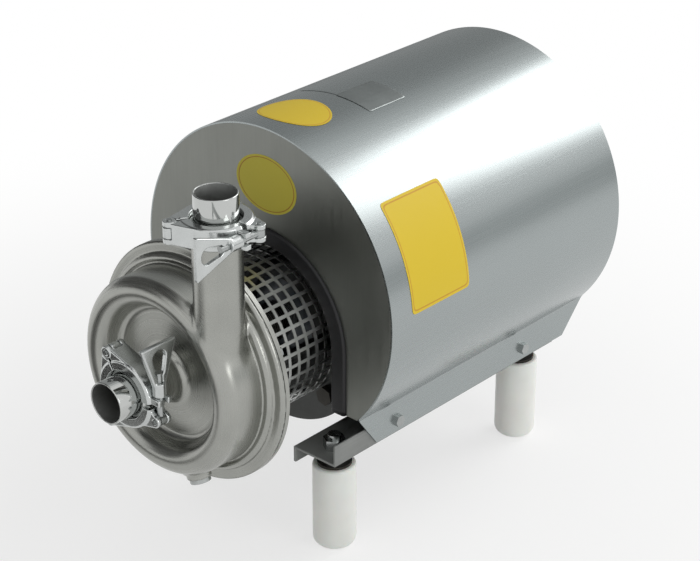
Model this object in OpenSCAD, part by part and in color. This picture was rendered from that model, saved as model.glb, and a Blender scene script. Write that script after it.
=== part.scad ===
// Sanitary centrifugal pump: close-coupled stainless pump end on a flanged motor under a sheet-metal hood.
// The shaft runs along Y with the inlet at -Y. The origin lies on the floor under the middle of the machine.
// Stations along the shaft are written as distances forward of the origin, so a station s lies at y = -s.

/* [Machine] */
// Height of the shaft above the floor
shaft_h = 190; // [180:1:210]

/* [Hood] */
// Outside radius of the hood
hood_r = 150; // [146:1:156]
// Height of the hood's axis above the shaft
hood_rise = 41.5; // [38:0.5:44]
// Station of the hood's front plate
hood_front = 68; // [64:1:72]
// Thickness of the hood's sheet
hood_t = 1.5; // [1:0.1:2]
// Angle below the hood's axis at which the round part bends into the skirt
skirt_angle = 41.5; // [40:0.5:43]
// Room between the motor's fan cowl and the hood's rear
rear_room = 17; // [12:1:24]
// Slope of the skirt's ends, as length along the skirt
skirt_chamfer = 24; // [15:1:32]
// Inside radius of the arch in the front plate
arch_r = 84; // [82:0.5:88]
// Thickness of the rubber edge trim over the plate's edge
trim_t = 3.5; // [2.5:0.5:4.5]
// Depth of the rubber edge trim on the plate
trim_depth = 13; // [10:0.5:16]

/* [Base] */
// Thickness of the rails' sheet
rail_t = 2.5; // [2:0.25:3]
// Distance from the middle to a rail's inner lip
rail_in = 60.5; // [58:0.25:60.75]
// Height of the rails' outer flange above the web
rail_up = 18.5; // [17:0.5:22]
// Depth of the rails' inner lip below the web
rail_lip = 14; // [10:0.5:18]
// Station of the rails' front end
rail_front = 98; // [97:1:104]
// Length of the rails
rail_len = 316; // [312:1:330]
// Diameter of a foot
foot_d = 40; // [34:1:44]
// Distance of a foot from the middle
foot_x = 89; // [86:0.5:90]
// Station of the front feet
foot_front = 75; // [72:1:76]
// Distance between the front and rear feet
foot_pitch = 266; // [250:1:270]
// Radius of a foot's stud
stud_r = 6; // [5:0.5:6]

/* [Casing] */
// Radius of the casing's bolting flange
flange_r = 111; // [109:0.5:114]
// Thickness of the casing's flange
flange_t = 5; // [4:0.5:6]
// Station of the joint between casing and back plate
casing_joint = 158.5; // [157:0.5:160]
// Thickness of the back plate
back_t = 4.5; // [4:0.5:6]
// Outside radius of the casing's volute ring
ring_r = 92; // [90:0.5:92.5]
// Station of the volute ring's crest
crest = 208; // [206:0.5:210]
// Wall of the casing
wall = 3; // [2.5:0.25:3.5]
// Distance from the volute ring's crest forward to the inlet joint
neck_reach = 23.5; // [21.5:0.5:27]
// Outside radius of the casing's necks
neck_r = 21.5; // [20.5:0.25:21.75]
// Distance of the outlet's axis from the shaft
outlet_x = 62; // [60:0.5:64]
// Station of the outlet's axis
outlet_s = 186; // [185:0.5:187]
// Height of the outlet joint above the shaft
outlet_rise = 158; // [150:1:162]

/* [Tube ends] */
// Outside radius of the tube ends
tube_r = 19.05; // [18.5:0.05:19.5]
// Wall of the tube ends
tube_wall = 1.5; // [1.2:0.05:2]
// Length of a stub from the joint to its mouth
stub_len = 30.5; // [28:0.5:34]
// Radius of the clamp flanges on the stubs
ferrule_r = 25.25; // [25:0.05:25.5]

/* [Clamps] */
// Outside radius of a clamp's jaws
jaw_r = 31; // [30:0.25:31.25]
// Width of a clamp's jaws
jaw_w = 20; // [18:0.5:22]
// Distance of the hinge pins from the tube's axis
hinge_r = 39; // [38:0.25:40]
// Radius of the hinge pins and of the bolt's pin
pin_r = 2; // [1.75:0.05:2.25]
// Distance of the swing bolt from the tube's axis
bolt_u = 34; // [33.5:0.25:35]
// Radius of the swing bolt
bolt_r = 3; // [2.75:0.05:3.1]
// Drop of the bolt's pin below the clamp's middle
bolt_drop = 15; // [14.5:0.25:16]
// Distance from the bolt's pin to the wing nut's seat
seat_len = 23; // [22:0.25:24]
// Length of the swing bolt above its pin
bolt_len = 45; // [42:0.5:50]
// Half of the wing's width at its outer edge
wing_half = 19.5; // [16:0.5:20]
// Thickness of the wing
wing_t = 4.5; // [4:0.25:5]

/* [Motor] */
// Height of the motor's shaft above its feet
motor_h = 90; // [86:1:94]
// Station of the motor's flange face
motor_face = 40; // [38:0.5:42]
// Radius of the motor's flange
motor_flange_r = 100; // [95:0.5:100]
// Radius of the motor's finned frame
frame_r = 86; // [84:0.5:88]
// Length of the motor's finned frame
frame_len = 176; // [172:1:180]
// Radius of the motor's shaft
motor_shaft_r = 12; // [11:0.5:13]
// Radius of the perforated coupling guard
guard_r = 73; // [71:0.5:74]

/* [Hidden] */
$fn = 64;
// Running clearance of pins and shafts, gap between moving faces, and gap between seated pieces
run = 0.05;
gap = 0.3;
seat_gap = 0.1;
// Overlap of cutting tools beyond the faces that they cut
eps = 1;

web_top = shaft_h - motor_h;
web_bottom = web_top - rail_t;
hood_z = shaft_h + hood_rise;
skirt_x = hood_r * cos(skirt_angle);
bend_z = hood_z - hood_r * sin(skirt_angle);
rail_out = skirt_x - hood_t;
hood_in = hood_r - hood_t;
trim_in = arch_r - trim_t;
trim_out = arch_r + trim_depth;
neck_wall = 3.2;
neck_fillet = 9;
washer_t = 2.5;
nut_t = 10;
foot_h = web_bottom - nut_t - washer_t;
foot_stations = [foot_front, foot_front - foot_pitch];
hood_bolt_stations = [16, -168];
hood_bolt_z = web_top + rail_up - 7;
hood_bolt_r = 3;

back_rear = casing_joint - back_t;
flange_front = casing_joint + flange_t;
inlet_joint = crest + neck_reach;
outlet_z = shaft_h + outlet_rise;
bore_r = tube_r - tube_wall;
neck_bore_r = neck_r - neck_wall;
neck_foot = neck_r + neck_fillet;
gasket_bore_r = bore_r + 0.4;
gasket_t = 2;
rim_t = 2.85;
cone_run = 0.364;
lip_r = neck_r + 0.8;
bolt_circle = flange_r - 8;
bolt_count = 8;
flange_bolt_r = 3;
dish_r = 62;
dish_s = crest - 21;
bead_r = ring_r + 5;
drain_angle = -72;
drain_r = 11;
drain_bore = drain_r - 5;
drain_end = ring_r + 7;

lantern_t = 10;
lantern_front = motor_face + lantern_t;
pump_shaft_r = 18;
tail_r = 10;
seal_r = 20;
impeller_r = 60;
shroud_s = 163;
blade_top = dish_s - wall - 3;
guard_t = 1;
guard_in = guard_r - guard_t;
guard_margin = 6;
guard_screw_s = 4;
guard_screw_r = 1.5;
hole_pitch = 11.5;
hole_side = 8.3;
holes_round = 40;
foot_bolt_x = 70;
foot_bolt_stations = [motor_face - 56, motor_face - 181];
foot_plate_t = 10;
foot_margin = 10;
foot_bolt_r = 4;
flange_bolt_at = frame_r - 3.5;
frame_front = motor_face - 16;
frame_rear = frame_front - frame_len;
fin_h = 8;
frame_wall = 6;
core_r = frame_r - fin_h - frame_wall;
stator_bore_r = core_r - 18;
rotor_r = stator_bore_r - 0.5;
end_turn = 28;
shield_t = 16;
shield_flange_t = 11;
bearing_r = 26;
bearing_t = 13;
tail_len = 50;
fan_t = 3;
fan_s = frame_rear - 48;
cowl_len = 93;
cowl_rear = frame_rear - cowl_len;
hood_rear = rear_room - cowl_rear;
hood_len = hood_rear + hood_front;

// Points of an arc about [x, y], from angle a0 to a1
function arc(x, y, r, a0, a1, n = 8) =
  [for (i = [0:n]) [x + r * cos(a0 + (a1 - a0) * i / n), y + r * sin(a0 + (a1 - a0) * i / n)]];

// Places children on the shaft with local z pointing forward from the origin
module on_shaft(s = 0) {
  translate([0, -s, shaft_h]) rotate([90, 0, 0]) children();
}

// Places children in the inlet clamp's frame: u is +X, v is +Z, w is the tube's axis
module at_inlet() {
  translate([0, -inlet_joint, shaft_h]) rotate([90, 0, 0]) children();
}

// Places children in the outlet clamp's frame: u is +X, v is -Y, w is the tube's axis
module at_outlet() {
  translate([outlet_x, -outlet_s, outlet_z]) rotate([180, 0, 0]) children();
}

// Round ring between two radii, from z0 to z1
module ring(ro, ri, z0, z1) {
  translate([0, 0, z0]) difference() {
    cylinder(r = ro, h = z1 - z0);
    translate([0, 0, -eps]) cylinder(r = ri, h = z1 - z0 + 2 * eps);
  }
}

// Hexagonal head or nut by its width across flats, with a flat facing +X
module hex(af, h) {
  rotate(30) cylinder(d = af / cos(30), h = h, $fn = 6);
}

// Half section of a clamp flange on a tube end, with its sealing face at z = gasket_t / 2, on a tube of radius r
module ferrule_section(r, bore, len) {
  face = gasket_t / 2;
  rim = face + rim_t;
  polygon([[bore, face], [ferrule_r, face], [ferrule_r, rim], [r, rim + (ferrule_r - r) * cone_run],
    [r, len], [bore, len]]);
}

// Outer half section of the casing: flange, bead, volute ring, dish and inlet neck
module casing_outside() {
  dish_lip = 72.5;
  polygon(concat(
    [[0, casing_joint], [flange_r, casing_joint]],
    arc(flange_r - 1.5, flange_front - 1.5, 1.5, 0, 90, 4),
    [[bead_r + 4.5, flange_front]],
    arc(bead_r, flange_front + 1, 4.2, 0, 180, 8),
    [[ring_r, flange_front + 2]],
    arc(ring_r - 13, crest - 13, 13, 0, 90, 10),
    arc(dish_lip + 2.5, crest - 5, 5, 90, 175, 6),
    arc(dish_r - 4, dish_s + 7, 6, -10, -80, 6),
    [[neck_foot, dish_s + 3]],
    arc(neck_foot, dish_s + 3 + neck_fillet, neck_fillet, 270, 180, 6),
    [[neck_r, inlet_joint - 7], [0, inlet_joint - 7]]));
}

// Inner half section of the casing's chamber
module casing_inside() {
  r = ring_r - wall;
  polygon(concat(
    [[0, casing_joint - eps], [r, casing_joint - eps], [r, crest - 13]],
    arc(r - 10, crest - 13, 10, 0, 90, 6),
    [[dish_r + 11, crest - wall], [dish_r + 3, dish_s - wall], [neck_r + 4, dish_s - wall]],
    arc(neck_bore_r + 6, dish_s + 6, 6, 270, 180, 6),
    [[neck_bore_r, dish_s + 12], [neck_bore_r, inlet_joint], [0, inlet_joint]]));
}

// Outlet neck that leaves the volute ring on a tangent, kept outside the dish
module outlet_run(r, top) {
  difference() {
    translate([outlet_x, -outlet_s, shaft_h]) cylinder(r = r, h = top);
    on_shaft(outlet_s - 60) cylinder(r = dish_r + 14, h = 120);
  }
}

module volute_casing() {
  color("silver") difference() {
    union() {
      on_shaft() rotate_extrude($fn = 128) casing_outside();
      outlet_run(neck_r, outlet_rise - 7);
      at_outlet() rotate_extrude() ferrule_section(neck_r, neck_bore_r, 8);
      on_shaft(outlet_s) rotate(drain_angle) rotate([0, 90, 0]) translate([0, 0, ring_r - 8])
        cylinder(r = drain_r, h = drain_end - ring_r + 8);
    }
    on_shaft() rotate_extrude($fn = 128) casing_inside();
    outlet_run(neck_bore_r, outlet_rise + eps);
    on_shaft(dish_s - wall - eps) cylinder(r = neck_foot, h = neck_reach + 60);
    on_shaft(outlet_s) rotate(drain_angle) rotate([0, 90, 0]) translate([0, 0, ring_r - 12])
      cylinder(r = drain_bore, h = drain_end - ring_r + 12 + eps);
    on_shaft(casing_joint - eps) for (i = [0:bolt_count - 1]) rotate((i + 0.5) * 360 / bolt_count)
      translate([bolt_circle, 0, 0]) cylinder(r = flange_bolt_r, h = eps + flange_t - 1);
    on_shaft() rotate_extrude($fn = 128) translate([ring_r + 1.5, casing_joint]) circle(r = 1.6, $fn = 32);
  }
}

// Inlet neck with its clamp flange, welded into the middle of the dish
module inlet_neck() {
  color("silver") difference() {
    union() {
      on_shaft() rotate_extrude() intersection() {
        casing_outside();
        translate([0, dish_s - wall]) square([neck_foot, neck_reach + 60]);
      }
      at_inlet() mirror([0, 0, 1]) rotate_extrude() ferrule_section(neck_r, neck_bore_r, 8);
    }
    on_shaft() rotate_extrude() casing_inside();
  }
}

module casing_o_ring() {
  color("dimgray") on_shaft() rotate_extrude($fn = 128) intersection() {
    translate([ring_r + 1.5, casing_joint]) circle(r = 1.5, $fn = 32);
    translate([ring_r - 1, casing_joint]) square([5, 3]);
  }
}

module back_plate() {
  hub_r = seal_r + 8;
  color("silver") difference() {
    union() {
      on_shaft() ring(flange_r, seal_r - 5, back_rear, casing_joint);
      on_shaft() ring(hub_r, seal_r - 5, back_rear - 8, casing_joint);
    }
    on_shaft(back_rear - 6) cylinder(r = seal_r, h = 40);
    on_shaft(back_rear - eps) for (i = [0:bolt_count - 1]) rotate((i + 0.5) * 360 / bolt_count)
      translate([bolt_circle, 0, 0]) cylinder(r = flange_bolt_r + gap, h = back_t + 2 * eps);
  }
}

module casing_bolts() {
  color("lightgray") on_shaft() for (i = [0:bolt_count - 1]) rotate((i + 0.5) * 360 / bolt_count)
    translate([bolt_circle, 0, 0]) {
      translate([0, 0, back_rear - 4]) hex(10, 4);
      translate([0, 0, back_rear - 4]) cylinder(r = flange_bolt_r - run, h = 4 + back_t + flange_t - 1.5);
    }
}

module drain_plug() {
  plug_r = drain_bore - run;
  color("gainsboro") on_shaft(outlet_s) rotate(drain_angle) rotate([0, 90, 0]) {
    translate([0, 0, ring_r - wall]) cylinder(r = plug_r, h = drain_end - ring_r + wall);
    translate([0, 0, drain_end]) cylinder(r = drain_r - 1.5, h = 4);
  }
}

module impeller() {
  hub_r = 19;
  blade_bend = 34;
  color("silver") on_shaft() difference() {
    union() {
      ring(impeller_r, tail_r, shroud_s, shroud_s + 3);
      ring(hub_r, tail_r, shroud_s, blade_top - 5);
      for (i = [0:4]) rotate(i * 72) intersection() {
        translate([8, blade_bend, 0]) ring(blade_bend, blade_bend - 3, shroud_s + 2, blade_top);
        translate([0, -5, shroud_s]) cube([impeller_r, impeller_r + 5, 40]);
        ring(impeller_r - 0.5, hub_r - 1, shroud_s, blade_top + eps);
      }
    }
    cylinder(r = tail_r + run, h = blade_top + eps);
  }
}

module impeller_nut() {
  nut_base = blade_top - 5;
  color("gainsboro") on_shaft() difference() {
    union() {
      translate([0, 0, nut_base]) hex(24, 8);
      translate([0, 0, nut_base + 8]) cylinder(r1 = 12, r2 = 4, h = 8);
    }
    cylinder(r = tail_r - 3 + run, h = nut_base + 10);
  }
}

module pump_shaft() {
  color("silver") on_shaft() difference() {
    union() {
      translate([0, 0, motor_face + 14]) cylinder(r = pump_shaft_r, h = back_rear - 24 - motor_face);
      cylinder(r = tail_r, h = blade_top - 5);
      cylinder(r = tail_r - 3, h = blade_top + 4);
    }
    translate([0, 0, -eps]) cylinder(r = motor_shaft_r + run, h = motor_face + 51 + eps);
  }
}

module seal_seat() {
  color("dimgray") on_shaft() ring(seal_r - run, tail_r + 1.5, back_rear - 6, casing_joint);
}

module seal_ring() {
  color("gray") on_shaft() ring(seal_r - 3, tail_r + run, casing_joint + gap, shroud_s - seat_gap);
}

module adapter_lantern() {
  head_r = guard_in - seat_gap;
  color("darkgray") difference() {
    on_shaft() {
      ring(head_r, seal_r + 8 + seat_gap, back_rear - 8, back_rear);
      ring(motor_flange_r, 40, motor_face, lantern_front);
      for (a = [0:90:270]) rotate(a) translate([head_r - 12, 0, lantern_front - eps])
        cylinder(r = 7, h = back_rear - lantern_front - 8 + 2 * eps);
    }
    on_shaft() for (a = [45:90:315]) rotate(a) translate([flange_bolt_at, 0, motor_face - eps])
      cylinder(r = 5.5, h = lantern_t + 2 * eps);
    at_guard_screws() translate([0, 0, guard_r - 7]) cylinder(r = guard_screw_r + run, h = 10);
  }
}

// Rolled perforated sheet with square holes in rows round the coupling
module coupling_guard() {
  len = back_rear - lantern_front;
  rows = floor((len - 2 * guard_margin) / hole_pitch);
  first = lantern_front + (len - (rows - 1) * hole_pitch) / 2;
  color("silver") difference() {
    on_shaft() ring(guard_r, guard_in, lantern_front, back_rear);
    on_shaft() for (i = [0:holes_round - 1], k = [0:rows - 1])
      rotate((i + 0.5) * 360 / holes_round) translate([guard_r, 0, first + k * hole_pitch])
        cube([6 * guard_t, hole_side, hole_side], center = true);
    at_guard_screws() translate([0, 0, guard_r - 7]) cylinder(r = guard_screw_r + run, h = 10);
  }
}

// Places children at each guard screw, with local z pointing out of the guard
module at_guard_screws() {
  on_shaft(back_rear - guard_screw_s) for (a = [45:90:315]) rotate(a) rotate([0, 90, 0]) children();
}

module guard_screws() {
  color("lightgray") at_guard_screws() {
    translate([0, 0, guard_r - 6]) cylinder(r = guard_screw_r, h = 6);
    translate([0, 0, guard_r]) cylinder(r = guard_screw_r + 1.2, h = 1.5);
  }
}

// Tube end with its clamp flange
module ferrule() {
  color("gainsboro") rotate_extrude() ferrule_section(tube_r, bore_r, stub_len);
}

module gasket() {
  color("white") ring(ferrule_r, gasket_bore_r, -gasket_t / 2, gasket_t / 2);
}

// Half section of the clamp's jaws, with a groove for the two clamp flanges
module jaw_section() {
  root_r = ferrule_r + gap;
  root_w = gasket_t / 2 + rim_t + gap;
  mouth_w = root_w + (root_r - lip_r) * cone_run;
  half = jaw_w / 2;
  polygon([[lip_r, mouth_w], [root_r, root_w], [root_r, -root_w], [lip_r, -mouth_w], [lip_r, -half],
    [jaw_r - 1.5, -half], [jaw_r, 1.5 - half], [jaw_r, half - 1.5], [jaw_r - 1.5, half], [lip_r, half]]);
}

// Stretch of the jaw ring between two angles
module jaw_arc(a0, a1) {
  rotate(a0) rotate_extrude(angle = a1 - a0) jaw_section();
}

// Layers across the jaw's width: the middle knuckle and the two outer prongs
knuckle_half = jaw_w / 4;
module web_layer() {
  web_w = jaw_w - 1.5;
  translate([0, 0, -web_w / 2]) linear_extrude(web_w) children();
}
module middle_layer() {
  translate([0, 0, -knuckle_half + gap / 2]) linear_extrude(2 * knuckle_half - gap) children();
}
module outer_layers() {
  for (s = [-1, 1]) translate([0, 0, s * (jaw_w / 4 + knuckle_half / 2) - knuckle_half / 2 + gap / 4 * s])
    linear_extrude(knuckle_half - gap / 2) children();
}

hinge_angle = 122;
knuckle_r = 5.5;
hinge_at = hinge_r * [cos(hinge_angle), sin(hinge_angle)];
// Angle between the hinge and the point where a straight flank leaves the jaw ring
flank_angle = acos((jaw_r - knuckle_r) / hinge_r);

// Depth of the web's flank below the round faces that it joins
web_sink = 0.4;

// Web between the knuckle and the jaw ring on one side of the hinge, with a straight flank
module knuckle_web(side) {
  root_r = jaw_r - 3;
  inner = hinge_angle + side * 6;
  outer = hinge_angle + side * flank_angle;
  flank = [cos(outer), sin(outer)];
  polygon([hinge_at, hinge_at + (knuckle_r - web_sink) * flank, (jaw_r - web_sink) * flank,
    root_r * [cos(outer - side * 12), sin(outer - side * 12)], root_r * [cos(inner), sin(inner)]]);
}

// Cutters round the hinge that leave room for the other jaw's knuckles
module knuckle_room(z0, h) {
  translate([hinge_at[0], hinge_at[1], z0]) cylinder(r = knuckle_r + 1, h = h);
}

module hinge_bore(s) {
  translate([hinge_r * cos(hinge_angle), s * hinge_r * sin(hinge_angle), -jaw_w])
    cylinder(r = pin_r + run, h = 2 * jaw_w);
}

// Room for the swing bolt between the ears
slot_half = bolt_r + 0.4;
boss_r = 6;
module bolt_slot() {
  translate([bolt_u - bolt_r - 0.7, -jaw_r, -slot_half]) cube([40, 2 * jaw_r, 2 * slot_half]);
}

module middle_jaw() {
  color("gainsboro") difference() {
    union() {
      jaw_arc(hinge_angle + 2, 358 - hinge_angle);
      for (m = [0, 1]) mirror([0, m, 0]) {
        web_layer() knuckle_web(1);
        middle_layer() translate(hinge_at) circle(r = knuckle_r);
      }
    }
    for (s = [-1, 1]) hinge_bore(s);
    for (m = [0, 1]) mirror([0, m, 0]) {
      knuckle_room(knuckle_half - gap / 2, jaw_w);
      knuckle_room(-knuckle_half + gap / 2 - jaw_w, jaw_w);
    }
  }
}

// Jaw with outer knuckles at the hinge, from the hinge round to angle a1
module side_jaw(a1) {
  difference() {
    union() {
      jaw_arc(a1, hinge_angle - 2);
      web_layer() knuckle_web(-1);
      outer_layers() translate(hinge_at) circle(r = knuckle_r);
      children();
    }
    hinge_bore(1);
    knuckle_room(-knuckle_half - gap / 2, 2 * knuckle_half + gap);
    bolt_slot();
  }
}

// Ears on both sides of the swing bolt
ear_half = slot_half + 4.2;
module ear_layers() {
  translate([0, 0, -ear_half]) linear_extrude(2 * ear_half) children();
}

// The nut's ears end in a round seat about the bolt's pin, so that the tightened nut can swing off
module nut_jaw() {
  color("gainsboro") difference() {
    side_jaw(2) ear_layers() intersection() {
      translate([jaw_r - 4, 1.5]) square([bolt_u + 7 - jaw_r + 4, seat_len]);
      translate([bolt_u, -bolt_drop]) circle(r = seat_len - seat_gap);
    }
    translate([bolt_u, seat_len - bolt_drop - seat_gap, 0]) rotate([-90, 0, 0]) cylinder(r = boss_r + gap, h = jaw_r);
  }
}

module bolt_jaw() {
  color("gainsboro") difference() {
    mirror([0, 1, 0]) side_jaw(8) ear_layers() {
      translate([bolt_u, bolt_drop]) circle(r = 5.5);
      polygon([[jaw_r - 3.5, 3.5], [bolt_u, bolt_drop - 5.5], [bolt_u, bolt_drop + 5.5], [jaw_r - 12, bolt_drop + 9]]);
    }
    translate([bolt_u, -bolt_drop, -jaw_w]) cylinder(r = pin_r + run, h = 2 * jaw_w);
    translate([bolt_u, -bolt_drop, -slot_half]) cylinder(r = 6.2, h = 2 * slot_half);
  }
}

module hinge_pins() {
  color("silver") for (s = [-1, 1])
    translate([hinge_r * cos(hinge_angle), s * hinge_r * sin(hinge_angle), -jaw_w / 2 - 1])
      cylinder(r = pin_r, h = jaw_w + 2);
}

module swing_bolt() {
  eye_half = slot_half - gap;
  color("silver") translate([bolt_u, -bolt_drop, 0]) difference() {
    union() {
      translate([0, 0, -eye_half]) cylinder(r = 5, h = 2 * eye_half);
      rotate([-90, 0, 0]) cylinder(r = bolt_r, h = bolt_len);
    }
    translate([0, 0, -jaw_w]) cylinder(r = pin_r + run, h = 2 * jaw_w);
  }
}

module bolt_pin() {
  color("silver") translate([bolt_u, -bolt_drop, -ear_half - 1]) cylinder(r = pin_r, h = 2 * ear_half + 2);
}

// Wing nut: round boss, then a flaring wing with an oval window that shows the bolt's end
module wing_nut() {
  boss_h = 13;
  wing_h = 49;
  color("gainsboro") translate([bolt_u, seat_len - bolt_drop, 0]) rotate([-90, 0, 0]) difference() {
    union() {
      cylinder(r = boss_r, h = boss_h);
      rotate([90, 0, 90]) translate([0, 0, -wing_t / 2]) linear_extrude(wing_t) difference() {
        polygon([[-boss_r, boss_h - 3], [boss_r, boss_h - 3], [wing_half, wing_h], [-wing_half, wing_h]]);
        translate([0, boss_h + 11]) circle(r = 5);
        translate([0, wing_h - 12.5]) circle(r = 7.5);
        polygon([[-4.9, boss_h + 10], [4.9, boss_h + 10], [7.3, wing_h - 14], [-7.3, wing_h - 14]]);
      }
    }
    translate([0, 0, -eps]) cylinder(r = bolt_r + run, h = bolt_len);
  }
}

module motor_frame() {
  fins = 44;
  foot_front_s = foot_bolt_stations[0] + foot_margin;
  foot_len = foot_bolt_stations[0] - foot_bolt_stations[1] + 2 * foot_margin;
  color("slategray") difference() {
    union() {
      on_shaft(frame_rear) ring(frame_r - fin_h, core_r, 0, frame_len);
      on_shaft(frame_rear) for (i = [0:fins - 1]) rotate(i * 360 / fins)
        translate([frame_r - fin_h - eps, -1, 3]) cube([fin_h + eps, 2, frame_len - 6]);
      for (s = [-1, 1]) {
        translate([s * (foot_bolt_x - 1) - 16, -foot_front_s, web_top]) cube([32, foot_len, foot_plate_t]);
        translate([s * (foot_bolt_x - 14) - 6, -foot_front_s, web_top])
          cube([12, foot_len, motor_h - sqrt(pow(frame_r - fin_h, 2) - pow(foot_bolt_x - 14, 2)) + 4]);
      }
    }
    on_shaft(frame_rear) translate([0, 0, -eps]) cylinder(r = core_r, h = frame_len + 2 * eps);
    for (s = [-1, 1], st = foot_bolt_stations) translate([s * foot_bolt_x, -st, web_top - eps])
      cylinder(r = foot_bolt_r + gap, h = foot_plate_t + 2 * eps);
  }
}

module motor_front_shield() {
  flange_rear = motor_face - shield_flange_t;
  color("slategray") on_shaft() difference() {
    union() {
      translate([0, 0, flange_rear]) cylinder(r = motor_flange_r, h = shield_flange_t);
      translate([0, 0, frame_front]) cylinder(r = frame_r, h = flange_rear - frame_front);
    }
    translate([0, 0, frame_front - eps]) cylinder(r = bearing_r, h = bearing_t + 1 + eps);
    cylinder(r = motor_shaft_r + 1, h = motor_face + eps);
    for (a = [45:90:315]) rotate(a) translate([flange_bolt_at, 0, flange_rear - eps])
      cylinder(r = 5.5, h = shield_flange_t + 2 * eps);
  }
}

module motor_rear_shield() {
  color("slategray") on_shaft() difference() {
    translate([0, 0, frame_rear - shield_t]) cylinder(r = frame_r - fin_h, h = shield_t);
    translate([0, 0, frame_rear - bearing_t - 1]) cylinder(r = bearing_r, h = shield_t);
    translate([0, 0, frame_rear - shield_t - eps]) cylinder(r = motor_shaft_r + 1, h = shield_t);
  }
}

module motor_stator() {
  color("peru") on_shaft() ring(core_r - seat_gap, stator_bore_r, frame_rear + end_turn, frame_front - end_turn);
}

module motor_rotor() {
  color("silver") on_shaft() ring(rotor_r, motor_shaft_r + 2 + run, frame_rear + end_turn, frame_front - end_turn);
}

module motor_shaft() {
  color("silver") on_shaft() {
    translate([0, 0, frame_rear - tail_len]) cylinder(r = motor_shaft_r, h = motor_face - frame_rear + 2 * tail_len);
    translate([0, 0, frame_rear + 20]) cylinder(r = motor_shaft_r + 2, h = frame_len - 40);
  }
}

// Ball bearing seated in a shield, with the shaft running in its bore
module motor_bearing(s0) {
  color("lightgray") on_shaft() ring(bearing_r - seat_gap / 2, motor_shaft_r + run, s0, s0 + bearing_t);
}

module motor_front_bearing() {
  motor_bearing(frame_front + 0.5);
}

module motor_rear_bearing() {
  motor_bearing(frame_rear - bearing_t - 0.5);
}

module motor_fan() {
  fan_r = frame_r - 2 * fin_h;
  hub_r = motor_shaft_r + 8;
  color("black") on_shaft() {
    ring(fan_r, motor_shaft_r + run, fan_s, fan_s + fan_t);
    ring(hub_r, motor_shaft_r + run, fan_s, fan_s + 24);
    for (i = [0:6]) rotate(i * 360 / 7) translate([hub_r - 2, -1, fan_s + 2])
      cube([fan_r - hub_r, 2, 22]);
  }
}

module motor_fan_cowl() {
  cowl_in = frame_r - fin_h;
  cowl_t = 1.5;
  color("dimgray") on_shaft() difference() {
    translate([0, 0, cowl_rear]) cylinder(r = cowl_in + cowl_t, h = frame_rear - cowl_rear - seat_gap);
    translate([0, 0, cowl_rear + cowl_t]) cylinder(r = cowl_in + seat_gap / 2, h = cowl_len);
    for (r = [20, 32, 44, 56], a = [0:60:300]) rotate(a + r) translate([0, 0, cowl_rear - eps])
      rotate_extrude(angle = 46) translate([r, 0]) square([6, 4]);
  }
}

box_l = 90;
box_w = 84;
box_base = 20;
box_y = 84 - frame_front;
lid_t = 14;
box_top = shaft_h + frame_r + box_base;
module terminal_box() {
  box_wall = 3;
  color("slategray") difference() {
    translate([-box_w / 2, box_y - box_l / 2, shaft_h + core_r + 4]) cube([box_w, box_l, frame_r + box_base - core_r - 4]);
    translate([-box_w / 2 + box_wall, box_y - box_l / 2 + box_wall, shaft_h + frame_r + 2])
      cube([box_w - 2 * box_wall, box_l - 2 * box_wall, box_base]);
    on_shaft(frame_rear) cylinder(r = frame_r + seat_gap, h = frame_len);
    translate([box_w / 2 - 10, box_y, box_top - 9]) rotate([0, 90, 0]) cylinder(r = 6, h = 20);
  }
}

module terminal_lid() {
  color("slategray") translate([-box_w / 2, box_y - box_l / 2, box_top]) cube([box_w, box_l, lid_t]);
}

module motor_foot_bolts() {
  color("lightgray") for (s = [-1, 1], st = foot_bolt_stations) translate([s * foot_bolt_x, -st, 0]) {
    translate([0, 0, web_top + foot_plate_t]) hex(13, 5.5);
    translate([0, 0, web_bottom - 8]) cylinder(r = foot_bolt_r, h = rail_t + foot_plate_t + 9);
    translate([0, 0, web_bottom - 6.5]) hex(13, 6.5);
  }
}

module motor_flange_bolts() {
  color("lightgray") on_shaft() for (a = [45:90:315]) rotate(a) translate([flange_bolt_at, 0, 0]) {
    translate([0, 0, lantern_front]) hex(16, 6);
    translate([0, 0, motor_face - 10]) cylinder(r = 5, h = lantern_t + 11);
  }
}

// Outline of the hood's section about its axis: round top with a flat bottom at the bend
module hood_disc(r, t) {
  intersection() {
    translate([0, 0, hood_z]) rotate([90, 0, 0]) cylinder(r = r, h = t, $fn = 128);
    translate([-hood_r, -2 * hood_len, bend_z]) cube([2 * hood_r, 4 * hood_len, 2 * hood_r]);
  }
}

module hood_wrapper() {
  color("silver") difference() {
    union() {
      translate([0, hood_rear, 0]) difference() {
        hood_disc(hood_r, hood_len);
        translate([0, eps, 0]) hood_disc(hood_in, hood_len + 2 * eps);
        translate([-skirt_x + hood_t, -hood_len - eps, bend_z - eps])
          cube([2 * (skirt_x - hood_t), hood_len + 2 * eps, 8]);
      }
      for (s = [0, 1]) mirror([s, 0, 0]) translate([skirt_x - hood_t, 0, 0]) rotate([90, 0, 90])
        linear_extrude(hood_t) polygon([[-hood_front, bend_z + 1], [-hood_front, bend_z],
          [-hood_front + skirt_chamfer, web_top], [hood_rear - skirt_chamfer - 6, web_top],
          [hood_rear, bend_z], [hood_rear, bend_z + 1]]);
    }
    for (s = [0, 1], st = hood_bolt_stations) mirror([s, 0, 0]) translate([skirt_x - 10, -st, hood_bolt_z])
      rotate([0, 90, 0]) cylinder(r = hood_bolt_r + gap, h = 20);
  }
}

// Arch outline about the shaft, with straight legs down to the plate's edge
module arch(r) {
  circle(r = r, $fn = 128);
  translate([-r, -hood_r]) square([2 * r, hood_r]);
}

// End plate inside the wrapper, notched where the skirt begins
module hood_plate() {
  difference() {
    hood_disc(hood_in - seat_gap, hood_t);
    for (s = [0, 1]) mirror([s, 0, 0]) translate([rail_out - seat_gap, -10, bend_z - eps]) cube([20, 20, eps + 2]);
  }
}

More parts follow.
